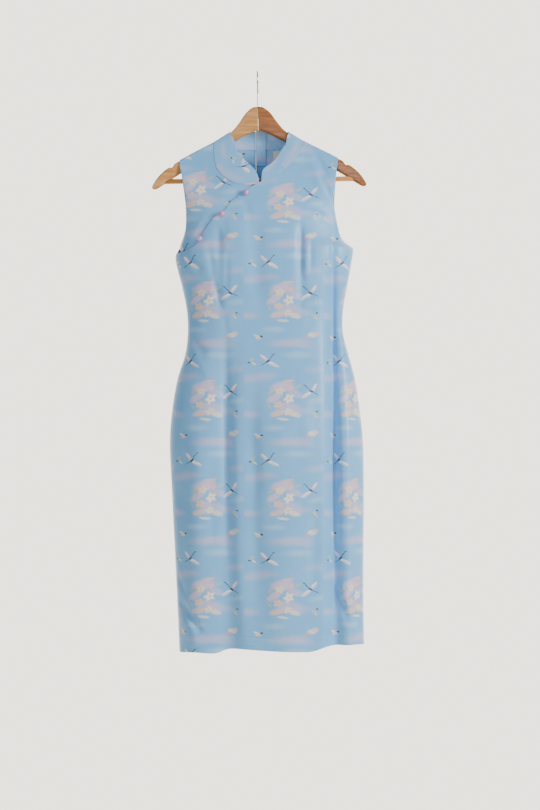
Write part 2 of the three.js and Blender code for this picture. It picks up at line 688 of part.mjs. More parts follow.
hook.deleteAttribute('normal');
addToHanger('hook', mergeVertices(hook, 1e-3), colours.steel, 0.25, 1);

export default group;
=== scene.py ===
import math

import bmesh
import bpy
import numpy as np
from mathutils import Matrix, Vector


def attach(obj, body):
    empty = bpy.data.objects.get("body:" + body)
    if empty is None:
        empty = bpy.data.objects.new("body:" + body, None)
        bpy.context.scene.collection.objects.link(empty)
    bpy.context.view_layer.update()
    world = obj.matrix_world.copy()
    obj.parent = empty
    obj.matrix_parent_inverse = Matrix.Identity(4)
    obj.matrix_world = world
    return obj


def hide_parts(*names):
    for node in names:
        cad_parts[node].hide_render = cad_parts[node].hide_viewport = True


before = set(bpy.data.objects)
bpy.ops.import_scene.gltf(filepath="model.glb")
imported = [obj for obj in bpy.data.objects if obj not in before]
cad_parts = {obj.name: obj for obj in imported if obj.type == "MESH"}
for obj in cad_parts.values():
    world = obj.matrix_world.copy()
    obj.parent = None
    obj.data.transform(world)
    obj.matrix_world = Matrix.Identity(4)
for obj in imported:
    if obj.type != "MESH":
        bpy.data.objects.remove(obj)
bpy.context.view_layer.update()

mm = 0.001
print("frame loaded:", len(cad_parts), "nodes")

# camera, lights and stage
studio = {
    "distance": 3.6, "lookX": 0.0261, "lookZ": -0.6958, "viewHeight": 1.6905,
    "backdrop": "#F3EADD", "wallStrength": 3.4, "wallY": 2.6, "wallSize": 9.0,
    "airStrength": 0.42, "floorZ": -2.2, "floorRadius": 2.5, "sensorHeight": 24,
}


def linear(hexColour):
    parts = [int(hexColour[i:i + 2], 16) / 255 for i in (1, 3, 5)]
    return tuple(c / 12.92 if c <= 0.04045 else ((c + 0.055) / 1.055) ** 2.4 for c in parts) + (1.0,)


def addNode(tree, kind, inputs=None, **settings):
    made = tree.nodes.new(kind)
    for name, value in settings.items():
        setattr(made, name, value)
    for key, value in (inputs or {}).items():
        if isinstance(value, bpy.types.NodeSocket):
            tree.links.new(value, made.inputs[key])
        else:
            made.inputs[key].default_value = value
    return made


def newMaterial(name):
    material = bpy.data.materials.new(name)
    material.use_nodes = True
    tree = material.node_tree
    tree.nodes.clear()
    shader = addNode(tree, "ShaderNodeBsdfPrincipled")
    output = addNode(tree, "ShaderNodeOutputMaterial")
    tree.links.new(shader.outputs["BSDF"], output.inputs["Surface"])
    return material, tree, shader


def addObject(name, data):
    made = bpy.data.objects.new(name, data)
    bpy.context.scene.collection.objects.link(made)
    return made


def addAreaLight(name, place, aim, size, power, colour):
    data = bpy.data.lights.new(name, "AREA")
    data.shape = "RECTANGLE"
    data.size, data.size_y = size
    data.energy = power
    data.color = linear(colour)[:3]
    light = addObject(name, data)
    light.location = place
    light.rotation_euler = (Vector(aim) - Vector(place)).to_track_quat("-Z", "Y").to_euler()


cameraData = bpy.data.cameras.new("camera")
cameraData.sensor_fit = "VERTICAL"
cameraData.sensor_height = studio["sensorHeight"]
cameraData.lens = cameraData.sensor_height * studio["distance"] / studio["viewHeight"]
camera = addObject("camera", cameraData)
camera.location = (studio["lookX"], -studio["distance"], studio["lookZ"])
camera.rotation_euler = (math.pi / 2, 0, 0)
bpy.context.scene.camera = camera

addAreaLight("keyLight", (2.7, -1.9, 0.3), (0.02, 0, -0.6), (0.9, 1.6), 135, "#FFF8F0")
addAreaLight("fillLight", (-1.2, -3.4, 0.2), (0, 0, -0.7), (1.6, 2.0), 34, "#EAF2FF")
addAreaLight("backLight", (0.6, 2.2, 0.9), (0, 0, -0.6), (2.0, 2.0), 60, "#FFFAF2")

world = bpy.data.worlds.new("studioAir")
world.use_nodes = True
worldShade = world.node_tree.nodes["Background"]
worldShade.inputs["Color"].default_value = linear(studio["backdrop"])
worldShade.inputs["Strength"].default_value = studio["airStrength"]
bpy.context.scene.world = world

wallMesh = bpy.data.meshes.new("studioWall")
wallBm = bmesh.new()
bmesh.ops.create_grid(wallBm, x_segments=1, y_segments=1, size=studio["wallSize"] / 2)
bmesh.ops.rotate(wallBm, verts=wallBm.verts, matrix=Matrix.Rotation(math.pi / 2, 3, "X"))
bmesh.ops.translate(wallBm, verts=wallBm.verts, vec=(0, studio["wallY"], studio["lookZ"]))
wallBm.to_mesh(wallMesh)
wallBm.free()
wall = addObject("studioWall", wallMesh)
wallMaterial, wallTree, wallShader = newMaterial("translucent diffusion cloth, backlit")
wallShader.inputs["Base Color"].default_value = linear("#101010")
wallShader.inputs["Specular IOR Level"].default_value = 0.0
wallShader.inputs["Emission Color"].default_value = linear(studio["backdrop"])
wallShader.inputs["Emission Strength"].default_value = studio["wallStrength"]
wallMesh.materials.append(wallMaterial)

floorMesh = bpy.data.meshes.new("studioFloor")
floorBm = bmesh.new()
bmesh.ops.create_circle(floorBm, cap_ends=True, segments=64, radius=studio["floorRadius"])
bmesh.ops.translate(floorBm, verts=floorBm.verts, vec=(0, 0, studio["floorZ"]))
floorBm.to_mesh(floorMesh)
floorBm.free()
floor = addObject("studioFloor", floorMesh)
floorMaterial, floorTree, floorShader = newMaterial("matt wall paint, rolled")
floorShader.inputs["Base Color"].default_value = linear(studio["backdrop"])
floorShader.inputs["Roughness"].default_value = 0.9
floorMesh.materials.append(floorMaterial)
print("studio ready")

# the form of the dress, in millimetres
form = {
    "sideFlat": 2.6, "slitTop": -1025, "slitSpread": 2.2, "tilt": 0.9, "tiltShift": 2.4,
    "armBow": 22, "armReach": 222, "clothOverArm": 1.7, "overArmRadius": 8.2,
    "frontFall": 0.34, "backFall": 0.27, "seam": 0.3, "clothThickness": 0.9,
    "hemDepth": 25, "hemStitchDepth": 0.8, "hemStitchHalfWidth": 2.2,
    "neckLeft": -91.8, "neckRight": 93.5, "tipLeft": -161.5, "tipRight": 167,
    "centreBackTop": -3.8, "centreBackHem": 20,
}


def table(columns, rows):
    return {name: np.array([row[i] for row in rows], float) for i, name in enumerate(columns.split())}


sections = table("z left right front back", [
    (-1216, -162, 222, 58, 56), (-1110, -166.5, 220.2, 62, 60), (-1010, -171.5, 220.5, 66, 63),
    (-880, -178, 221.5, 70, 67), (-770, -182.6, 219.5, 72, 71), (-700, -176.8, 212, 70, 72),
    (-640, -166, 202.5, 64, 67), (-590, -150.5, 189, 56, 57), (-545, -145, 178, 51, 50),
    (-500, -147, 178, 52, 48), (-450, -157, 186.5, 60, 50.5), (-400, -169.5, 195.5, 65.5, 52),
    (-381.5, -170, 199, 66, 52.3), (-370, -163.8, 200.2, 65.6, 52.2), (-350, -155, 176, 64, 51),
    (-310, -147.5, 162.5, 58, 46.5), (-265, -149.2, 158.5, 49, 40), (-212, -158.4, 163.6, 36, 31),
    (-183, -161.5, 167, 26, 26), (-140, -161.5, 167, 18, 24)])

armholeGap = table("rise gap", [
    (0, 0), (8, 5), (18, 10), (40, 18), (80, 25), (125, 24), (160, 19), (200, 9)])

# long folds: ridges, and valleys with a negative depth
frontFolds = table("top xTop bottom xBottom halfWidth depth", [
    (-700, -122, -1260, -128, 26, 6), (-520, -66, -1260, -58, 26, -11), (-600, 44, -1260, 60, 48, 8),
    (-330, 157, -1260, 160, 15, -15), (-640, 188, -1260, 193, 14, 7), (-290, -6, -520, 2, 20, -6),
    (-310, -80, -520, -78, 9, -5), (-310, 88, -520, 92, 9, -5)])
backFolds = table("top xTop bottom xBottom halfWidth depth", [
    (-600, -110, -1260, -118, 24, -9), (-520, -40, -1260, -44, 34, 7), (-560, 60, -1260, 74, 26, -10),
    (-640, 140, -1260, 146, 30, 7), (-360, -78, -600, -76, 9, -5), (-360, 96, -600, 98, 9, -5)])

# short creases from one place to another
frontCreases = table("x0 z0 x1 z1 halfWidth depth", [
    # dart on the -X side and the slack cloth beside it
    (-100, -356, -90, -440, 6, -3.4), (-90, -436, -75, -496, 4.5, -3.6), (-61, -372, -63, -470, 5, -2.2),
    (-80, -380, -78, -470, 7, 2.2), (-70, -500, -62, -560, 7, -1.8),
    # dart on the +X side, with puckers below its point
    (90, -318, 90, -442, 4.5, -4), (111, -352, 110, -424, 4.5, -3), (101, -360, 100, -436, 5, 2),
    (98, -474, 117, -466, 3.6, -1.8), (100, -492, 119, -482, 3.6, -2), (99, -512, 121, -500, 4, -2.2),
    (97, -532, 118, -524, 4, -1.5),
    # pulls from the +X shoulder and armhole
    (112, -160, 160, -246, 6, -2.6), (126, -212, 162, -284, 6, -2.2), (104, -176, 140, -262, 9, 1.8),
    (120, -300, 172, -330, 9, -2.4), (96, -276, 150, -300, 8, 1.4),
    # pulls towards the buttons and the -X underarm
    (-24, -268, -12, -330, 6, -1.8), (-72, -312, -60, -352, 6, -1.8), (-150, -392, -112, -420, 7, -3),
    (-160, -420, -128, -452, 8, -2.4), (-46, -270, -30, -300, 6, 1.4),
    # waist drag lines
    (-140, -556, -104, -596, 8, -2.6), (-136, -590, -96, -640, 9, 2), (168, -560, 140, -600, 8, -2.6),
    (176, -602, 150, -650, 9, 2), (-20, -560, 30, -574, 12, -1.6), (20, -596, 84, -584, 12, 1.4),
    # crumpled corners over the slits
    (-163, -1098, -114, -1166, 7, -9), (-152, -1130, -128, -1196, 15, 6), (-166, -1046, -148, -1088, 6, -4),
    (-170, -1020, -160, -1040, 5, 3), (192, -1050, 212, -1084, 7, -6), (196, -1096, 218, -1114, 5, -6),
    (170, -1060, 186, -1120, 10, 5), (196, -1130, 206, -1180, 8, 3.5),
    # the deep fold at the +X side and two long soft valleys
    (155, -330, 157, -700, 6, -6), (157, -560, 160, -1110, 6, -8), (160, -1060, 190, -1150, 7, -5),
    (172, -640, 176, -1000, 8, 3), (-66, -540, -62, -1020, 8, -5), (-10, -600, -4, -1190, 15, -5),
    (-44, -640, -40, -1100, 10, 3),
    # shallow unevenness of the skirt
    (-20, -720, 0, -880, 14, -2), (96, -640, 104, -860, 16, 2), (120, -880, 112, -1100, 12, -2.4),
    (-96, -800, -92, -1010, 10, -1.8), (6, -940, 20, -1190, 18, -3), (-36, -1000, -30, -1195, 12, 2.4)])
backCreases = table("x0 z0 x1 z1 halfWidth depth", [
    (-96, -380, -84, -470, 5, -3), (-74, -400, -74, -500, 5, -2.4), (102, -384, 98, -486, 5, -3),
    (-120, -210, -60, -250, 9, -2), (128, -204, 70, -262, 9, -2), (-146, -560, -104, -606, 9, -2.6),
    (170, -566, 128, -604, 9, -2.6), (-60, -560, 0, -574, 12, -1.8), (40, -590, 110, -578, 12, 1.6),
    (-160, -1090, -124, -1150, 8, -5), (206, -1080, 176, -1150, 9, -5), (10, -860, 14, -1120, 14, -2.4),
    (100, -700, 106, -900, 14, -2), (-80, -760, -84, -960, 12, 2)])

frontHem = table("x z", [
    (-166, -1210), (-130, -1206), (-86, -1207), (-62, -1199), (-40, -1197.5), (16, -1200),
    (84, -1202.5), (114, -1202), (146, -1193), (200, -1191), (222, -1193)])
backHem = table("x z", [
    (-166, -1209), (-110, -1200), (-40, -1206), (60, -1199), (140, -1205), (222, -1194)])

openingEdge = [
    (-169.6, -381.5), (-149, -377), (-128, -367), (-116.5, -350), (-107, -334.5), (-95.5, -317),
    (-84.5, -306.5), (-67, -294.5), (-54.8, -277.5), (-33.5, -260), (-9.4, -243.5)]
neckFrontRight = [
    (-9.4, -243.5), (7.3, -235), (21.9, -232), (36.5, -224.5), (55.3, -209.5), (69.9, -194.5),
    (83.5, -177), (91.5, -160)]
neckFrontLeft = [
    (-6, -246), (-15.7, -242.5), (-47, -238.5), (-67.8, -226), (-84.5, -208.5), (-90.5, -186),
    (-91.6, -163.5)]
neckBackLeft = [(-3.8, -162), (-30, -161.5), (-60, -161), (-82, -161.5), (-91, -163.5)]
neckBackRight = [(-3.8, -162), (30, -160.5), (60, -158), (84, -157.5), (92.5, -159.5)]
lapEdge = [
    (-162, -373), (-148, -386), (-128, -385), (-102, -352), (-74, -319), (-40, -281), (-6, -246)]
armholeLeft = [
    (-169.6, -381.5), (-159, -362.3), (-149.4, -333.5), (-146.9, -295.3), (-149.4, -263.4),
    (-158.4, -212.2), (-161.3, -202)]
armholeRight = [
    (199.6, -370.2), (176.3, -352.7), (165.3, -320.8), (158, -282.6), (158.8, -253.8),
    (163.6, -212.2), (166.6, -197)]
collarTopLeft = [
    (3.6, -40, -231), (-3.5, -36, -212), (-15.7, -32, -198.5), (-28.2, -28, -186), (-41, -22, -170),
    (-47, -16, -151), (-53, -11.5, -134)]
collarTopRight = [
    (8.6, -40, -229), (10.9, -37, -210), (24, -32, -199), (36, -26, -187), (50, -18, -165.5),
    (59.5, -13.5, -149), (62.5, -11, -131)]
collarBackLeft = [(-54, 11, -125), (-38, 18, -122.5), (-4, 21, -122)]
collarBackRight = [(61, 11, -121.5), (40, 18, -121), (-3.4, 21, -122)]

armOutline = table("x top bottom", [
    (0, -72.8, -122.7), (12, -75, -126), (27, -87.7, -133), (41, -107.5, -140.5),
    (56, -124.6, -148.5), (92, -147, -169.5), (130, -167, -192), (164, -185.5, -213),
    (175, -191.5, -220), (180.5, -199, -223.5), (187, -199.5, -228), (200, -209, -237),
    (212, -222, -244.5), (219, -233, -245.5), (222, -238.5, -243.5)])


def smooth(value, low, high):
    share = np.clip((np.asarray(value, float) - low) / (high - low), 0, 1)
    return share * share * (3 - 2 * share)


def cubicThrough(keys, values, place):
    slopes = np.gradient(values, keys)
    slopes[1:-1] = (values[2:] - values[:-2]) / (keys[2:] - keys[:-2])
    place = np.clip(place, keys[0], keys[-1])
    index = np.clip(np.searchsorted(keys, place) - 1, 0, len(keys) - 2)
    span = keys[index + 1] - keys[index]
    t = (place - keys[index]) / span
    return ((2 * t ** 3 - 3 * t ** 2 + 1) * values[index] + (t ** 3 - 2 * t ** 2 + t) * span * slopes[index]
            + (3 * t ** 2 - 2 * t ** 3) * values[index + 1] + (t ** 3 - t ** 2) * span * slopes[index + 1])


def lookUp(source, key, column, value):
    keys, values = source[key], source[column]
    if keys[0] > keys[-1]:
        keys, values = keys[::-1], values[::-1]
    return cubicThrough(keys, values, np.asarray(value, float))


def along(points, shares):
    # places at even shares of the length of a smooth curve through some points
    points = np.array(points, float)
    keys = np.concatenate([[0], np.cumsum(np.linalg.norm(np.diff(points, axis=0), axis=1) ** 0.5)])
    fine = np.linspace(0, keys[-1], 600)
    dense = np.stack([cubicThrough(keys, column, fine) for column in points.T], axis=1)
    run = np.concatenate([[0], np.cumsum(np.linalg.norm(np.diff(dense, axis=0), axis=1))])
    return np.stack([np.interp(np.asarray(shares) * run[-1], run, column) for column in dense.T], axis=1)


def armTop(x):
    tilt = math.tan(math.radians(form["tilt"]))
    return lookUp(armOutline, "x", "top", np.abs(x - form["tiltShift"])) + x * tilt


def armForward(x):
    return -form["armBow"] * (np.abs(x - form["tiltShift"]) / form["armReach"]) ** 2


def shoulderLine(x):
    return armTop(x) + form["clothOverArm"]


def centreBack(z):
    return form["centreBackTop"] + (form["centreBackHem"] - form["centreBackTop"]) * smooth(-z, 160, 620)


def foldDepth(folds, x, z):
    total = np.zeros_like(x)
    for top, xTop, bottom, xBottom, halfWidth, depth in zip(*folds.values()):
        drop = np.clip((top - z) / (top - bottom), 0, 1)
        centre = xTop + (xBottom - xTop) * drop
        ends = smooth(drop, 0, 0.22)
        if bottom > form["slitTop"]:
            ends = ends * smooth(1 - drop, 0, 0.35)
        total += depth * ends * np.exp(-((x - centre) / halfWidth) ** 2)
    return total


def creaseDepth(creases, x, z):
    total = np.zeros_like(x)
    for x0, z0, x1, z1, halfWidth, depth in zip(*creases.values()):
        length = math.hypot(x1 - x0, z1 - z0)
        share = ((x - x0) * (x1 - x0) + (z - z0) * (z1 - z0)) / length ** 2
        held = np.clip(share, 0, 1)
        away = np.hypot(x - x0 - held * (x1 - x0), z - z0 - held * (z1 - z0))
        taper = np.sin(np.pi * np.clip(share, 0, 1)) ** 0.7
        total += depth * taper * np.exp(-(away / halfWidth) ** 2)
    return total


def standOff(side, x, z):
    left = lookUp(sections, "z", "left", z)
    right = lookUp(sections, "z", "right", z)
    across = np.clip((x - left) / (right - left), 0, 1)
    gapLeft = lookUp(armholeGap, "rise", "gap", z - armholeLeft[0][1])
    gapRight = lookUp(armholeGap, "rise", "gap", z - armholeRight[0][1])
    gap = gapLeft + (gapRight - gapLeft) * across
    roundness = 0.5 + 0.35 * smooth(z, -385, -300)
    oval = np.maximum(1 - np.abs(2 * across - 1) ** form["sideFlat"], 0) ** roundness
    middle = lookUp(sections, "z", side, z)
    folds, creases = (frontFolds, frontCreases) if side == "front" else (backFolds, backCreases)
    body = gap + (middle - gap) * oval + foldDepth(folds, x, z) * np.minimum(oval * 1.6, 1)
    body = np.maximum(body, 0)
    below = shoulderLine(x) - z
    radius = form["overArmRadius"]
    bend = radius * np.sqrt(1 - (1 - np.clip(below / radius, 0, 1)) ** 2)
    drop = bend + form[side + "Fall"] * np.maximum(below - radius, 0)
    share = np.clip(0.5 + (drop - body) / 10, 0, 1)
    eased = drop + (body - drop) * share - 5 * share * (1 - share)
    hem = frontHem if side == "front" else backHem
    overStitch = (z - lookUp(hem, "x", "z", x) - form["hemDepth"]) / form["hemStitchHalfWidth"]
    hemStitch = -form["hemStitchDepth"] * np.exp(-overStitch ** 2)
    creased = creaseDepth(creases, x, z) * smooth(below, 4, 24) * np.minimum(oval * 2, 1)
    return eased + hemStitch + creased


def surface(side, x, z, inside=0.0):
    x, z = np.broadcast_arrays(np.asarray(x, float), np.asarray(z, float))
    middle = armForward(x) * (1 - smooth(shoulderLine(x) - z, 20, 150))
    sign = -1 if side == "front" else 1
    spread = form["slitSpread"] * smooth(form["slitTop"] - z, 0, 60)
    off = standOff(side, x, z)
    if np.any(np.asarray(inside) > 0):
        across = (standOff(side, x + 4, z) - standOff(side, x - 4, z)) / 8
        up = (standOff(side, x, z + 4) - standOff(side, x, z - 4)) / 8
        off = off - inside * np.minimum(np.sqrt(1 + across ** 2 + up ** 2), 2.5)
    return np.stack([x, middle + sign * (np.maximum(off, 0) + form["seam"] / 2 + spread), z], axis=-1)


# cloth pieces from a grid
def clothPiece(name, points, uv, material, thickness=None, flip=False):
    rows, columns = points.shape[:2]
    bm = bmesh.new()
    bmesh.ops.create_grid(bm, x_segments=columns - 1, y_segments=rows - 1, size=0.5)
    uvLayer = bm.loops.layers.uv.new("flat cut")
    places = {}
    for vert in bm.verts:
        j = round((vert.co.x + 0.5) * (columns - 1))
        i = round((vert.co.y + 0.5) * (rows - 1))
        places[vert.index] = (i, j)
        vert.co = Vector(points[i, j] * mm)
    for face in bm.faces:
        face.smooth = True
        for loop in face.loops:
            loop[uvLayer].uv = uv[places[loop.vert.index]] * mm
    if flip:
        bmesh.ops.reverse_faces(bm, faces=bm.faces)
    mesh = bpy.data.meshes.new(name)
    bm.to_mesh(mesh)
    bm.free()
    mesh.materials.append(material)
    piece = addObject(name, mesh)
    wall = piece.modifiers.new("wall", "SOLIDIFY")
    wall.thickness = (thickness or form["clothThickness"]) * mm
    wall.offset = 0
    return piece


def flatPlaces(points, centreX, shift=(0, 0)):
    # width along each row of the cloth from the centre line, and height
    steps = np.linalg.norm(np.diff(points[:, :, :2], axis=1), axis=2)
    run = np.concatenate([np.zeros((len(points), 1)), np.cumsum(steps, axis=1)], axis=1)
    nearest = np.argmin(np.abs(points[:, :, 0] - centreX), axis=1)
    rowIndex = np.arange(len(points))
    start = points[rowIndex, nearest, 0] - centreX - run[rowIndex, nearest]
    return np.stack([run + start[:, None] + shift[0], points[:, :, 2] + shift[1]], axis=-1)


def stretch(a, b, count, last=False):
    return np.linspace(a, b, count, endpoint=last)


shoulderDrops = np.array([12, 9.6, 7.4, 5.6, 4, 2.8, 1.8, 1.0, 0.4, 0])
hemRow = -1216
sideZ = np.concatenate([stretch(hemRow, -1160, 36), stretch(-1160, -412, 160), stretch(-412, -384, 8)])


def sideEdge(side):
    return np.stack([lookUp(sections, "z", side, sideZ), sideZ], axis=1)


def rowsBetween(leftEdge, rightEdge, shares):
    return leftEdge[:, None] + (rightEdge - leftEdge)[:, None] * shares[None, :, None]


def shoulderRows(fromX, toX, shares):
    x = np.tile(fromX + (toX - fromX) * shares, (len(shoulderDrops), 1))
    return np.stack([x, shoulderLine(x) - shoulderDrops[:, None]], axis=-1)


def hemmed(hem, places):
    x, z = places[..., 0], places[..., 1]
    lift = lookUp(hem, "x", "z", x) - hemRow
    return np.stack([x, z + lift * (1 - smooth(z, hemRow, form["slitTop"]))], axis=-1)


# printed satin
print("printed satin")
printed = {
    "repeatX": 167, "repeatY": 203, "originX": 35, "originY": -685,
    "wander": 2.2, "weaveWidth": 0.9,
}
inks = {
    "lavender": "#BFC2EE", "pink": "#E2C6E4", "peach": "#E4C9C0", "cream": "#E4E6DC",
    "white": "#F1F3F6", "ink": "#35587C", "leaf": "#C3CC9C", "rose": "#D79FB8", "sky": "#A9D9FB",
}
# soft cloud wisps, then leaves and petals, each an oval: x y long short turn ink softness strength
wispOvals = [
    (-62, 44, 30, 7, 4, "lavender", 0.9, 0.55), (-34, 50, 20, 5, -6, "lavender", 0.9, 0.4),
    (12, -86, 34, 7, 3, "pink", 0.9, 0.5), (40, -92, 20, 6, -4, "lavender", 0.9, 0.45),
    (34, -24, 22, 6, 5, "lavender", 0.9, 0.5), (-76, -30, 20, 6, -3, "pink", 0.9, 0.4),
    (68, 62, 22, 6, 6, "lavender", 0.9, 0.45), (-20, -58, 18, 5, 0, "sky", 0.9, 0.6),
    (30, 92, 24, 6, 0, "sky", 0.9, 0.6), (70, -2, 16, 5, 10, "sky", 0.9, 0.5)]
sprayOvals = [
    (-4, 26, 22, 10, 8, "pink", 0.45, 0.75), (10, -18, 26, 12, -8, "lavender", 0.5, 0.8),
    (-20, 4, 16, 7, 30, "pink", 0.4, 0.7), (24, 12, 16, 7, -20, "lavender", 0.4, 0.7),
    (-14, -28, 15, 6, 12, "peach", 0.35, 0.8), (22, -30, 12, 5, -15, "cream", 0.35, 0.8),
    (-26, 16, 9, 2.6, 40, "leaf", 0.3, 0.7), (28, 26, 9, 2.4, 25, "leaf", 0.3, 0.6),
    (-2, -40, 12, 2.6, -6, "cream", 0.3, 0.8), (8, 38, 12, 2.6, 4, "peach", 0.3, 0.8),
    (-30, -14, 7, 2, -50, "leaf", 0.3, 0.6), (18, 44, 6, 2, 60, "rose", 0.3, 0.6)]
# blossoms: x y radius turn petals ink
blossoms = [
    (-8, 18, 12, 10, 5, "cream"), (10, 2, 14, 40, 5, "white"), (-12, -10, 11, 0, 5, "peach"),
    (8, -24, 11, 25, 5, "cream"), (14, 24, 9, 60, 5, "pink")]
smallOvals = [
    # bud sprig over the spray
    (-66, 82, 5, 2.2, 30, "leaf", 0.3, 0.9), (-72, 76, 3, 1.8, 0, "ink", 0.3, 0.9),
    (-62, 74, 5, 2, -30, "cream", 0.3, 0.9),
    # bud sprig beside it
    (62, -28, 5, 2, 20, "leaf", 0.3, 0.9), (69, -24, 2.6, 1.8, 0, "ink", 0.3, 0.9),
    (66, -33, 4.5, 2, -40, "peach", 0.3, 0.9),
    # little bird
    (-52, -76, 7, 3, 12, "peach", 0.3, 0.9), (-46, -73, 3, 2.2, 0, "ink", 0.25, 1),
    (-57, -72, 6, 2.2, -20, "cream", 0.3, 0.9),
    # cloudlet with a tail
    (58, -70, 9, 5, 0, "cream", 0.35, 0.85), (66, -66, 6, 4, 0, "peach", 0.35, 0.8),
    (48, -75, 10, 2, 12, "rose", 0.35, 0.7)]
# a flying crane about its body: x y long short turn ink softness strength
craneOvals = [
    (-7.5, 6.5, 10, 3.4, -42, "pink", 0.3, 0.95), (-9, 9, 7, 1.6, -42, "white", 0.3, 0.95),
    (10, -6, 12, 3.4, -24, "white", 0.3, 1), (12, -8.5, 9, 1.3, -20, "lavender", 0.3, 0.9),
    (0, 0, 5, 2.3, 35, "ink", 0.25, 1), (6.5, 8, 8.5, 0.85, 52, "ink", 0.3, 1),
    (-8.5, -5.5, 8, 0.8, 30, "ink", 0.3, 0.9), (12, 14.6, 2.6, 1, 20, "ink", 0.3, 1)]
cranePlaces = [(-33, 79, 0, 1), (56, 17, 8, -1)]  # x y turn mirror


def craneStamps():
    stamps = []
    for placeX, placeY, turn, mirror in cranePlaces:
        c, s = math.cos(math.radians(turn)), math.sin(math.radians(turn))
        for x, y, long, short, lean, ink, soft, strength in craneOvals:
            x, lean = x * mirror, lean * mirror
            stamps.append((placeX + x * c - y * s, placeY + x * s + y * c, long, short, lean + turn,
                           ink, soft, strength))
    return stamps


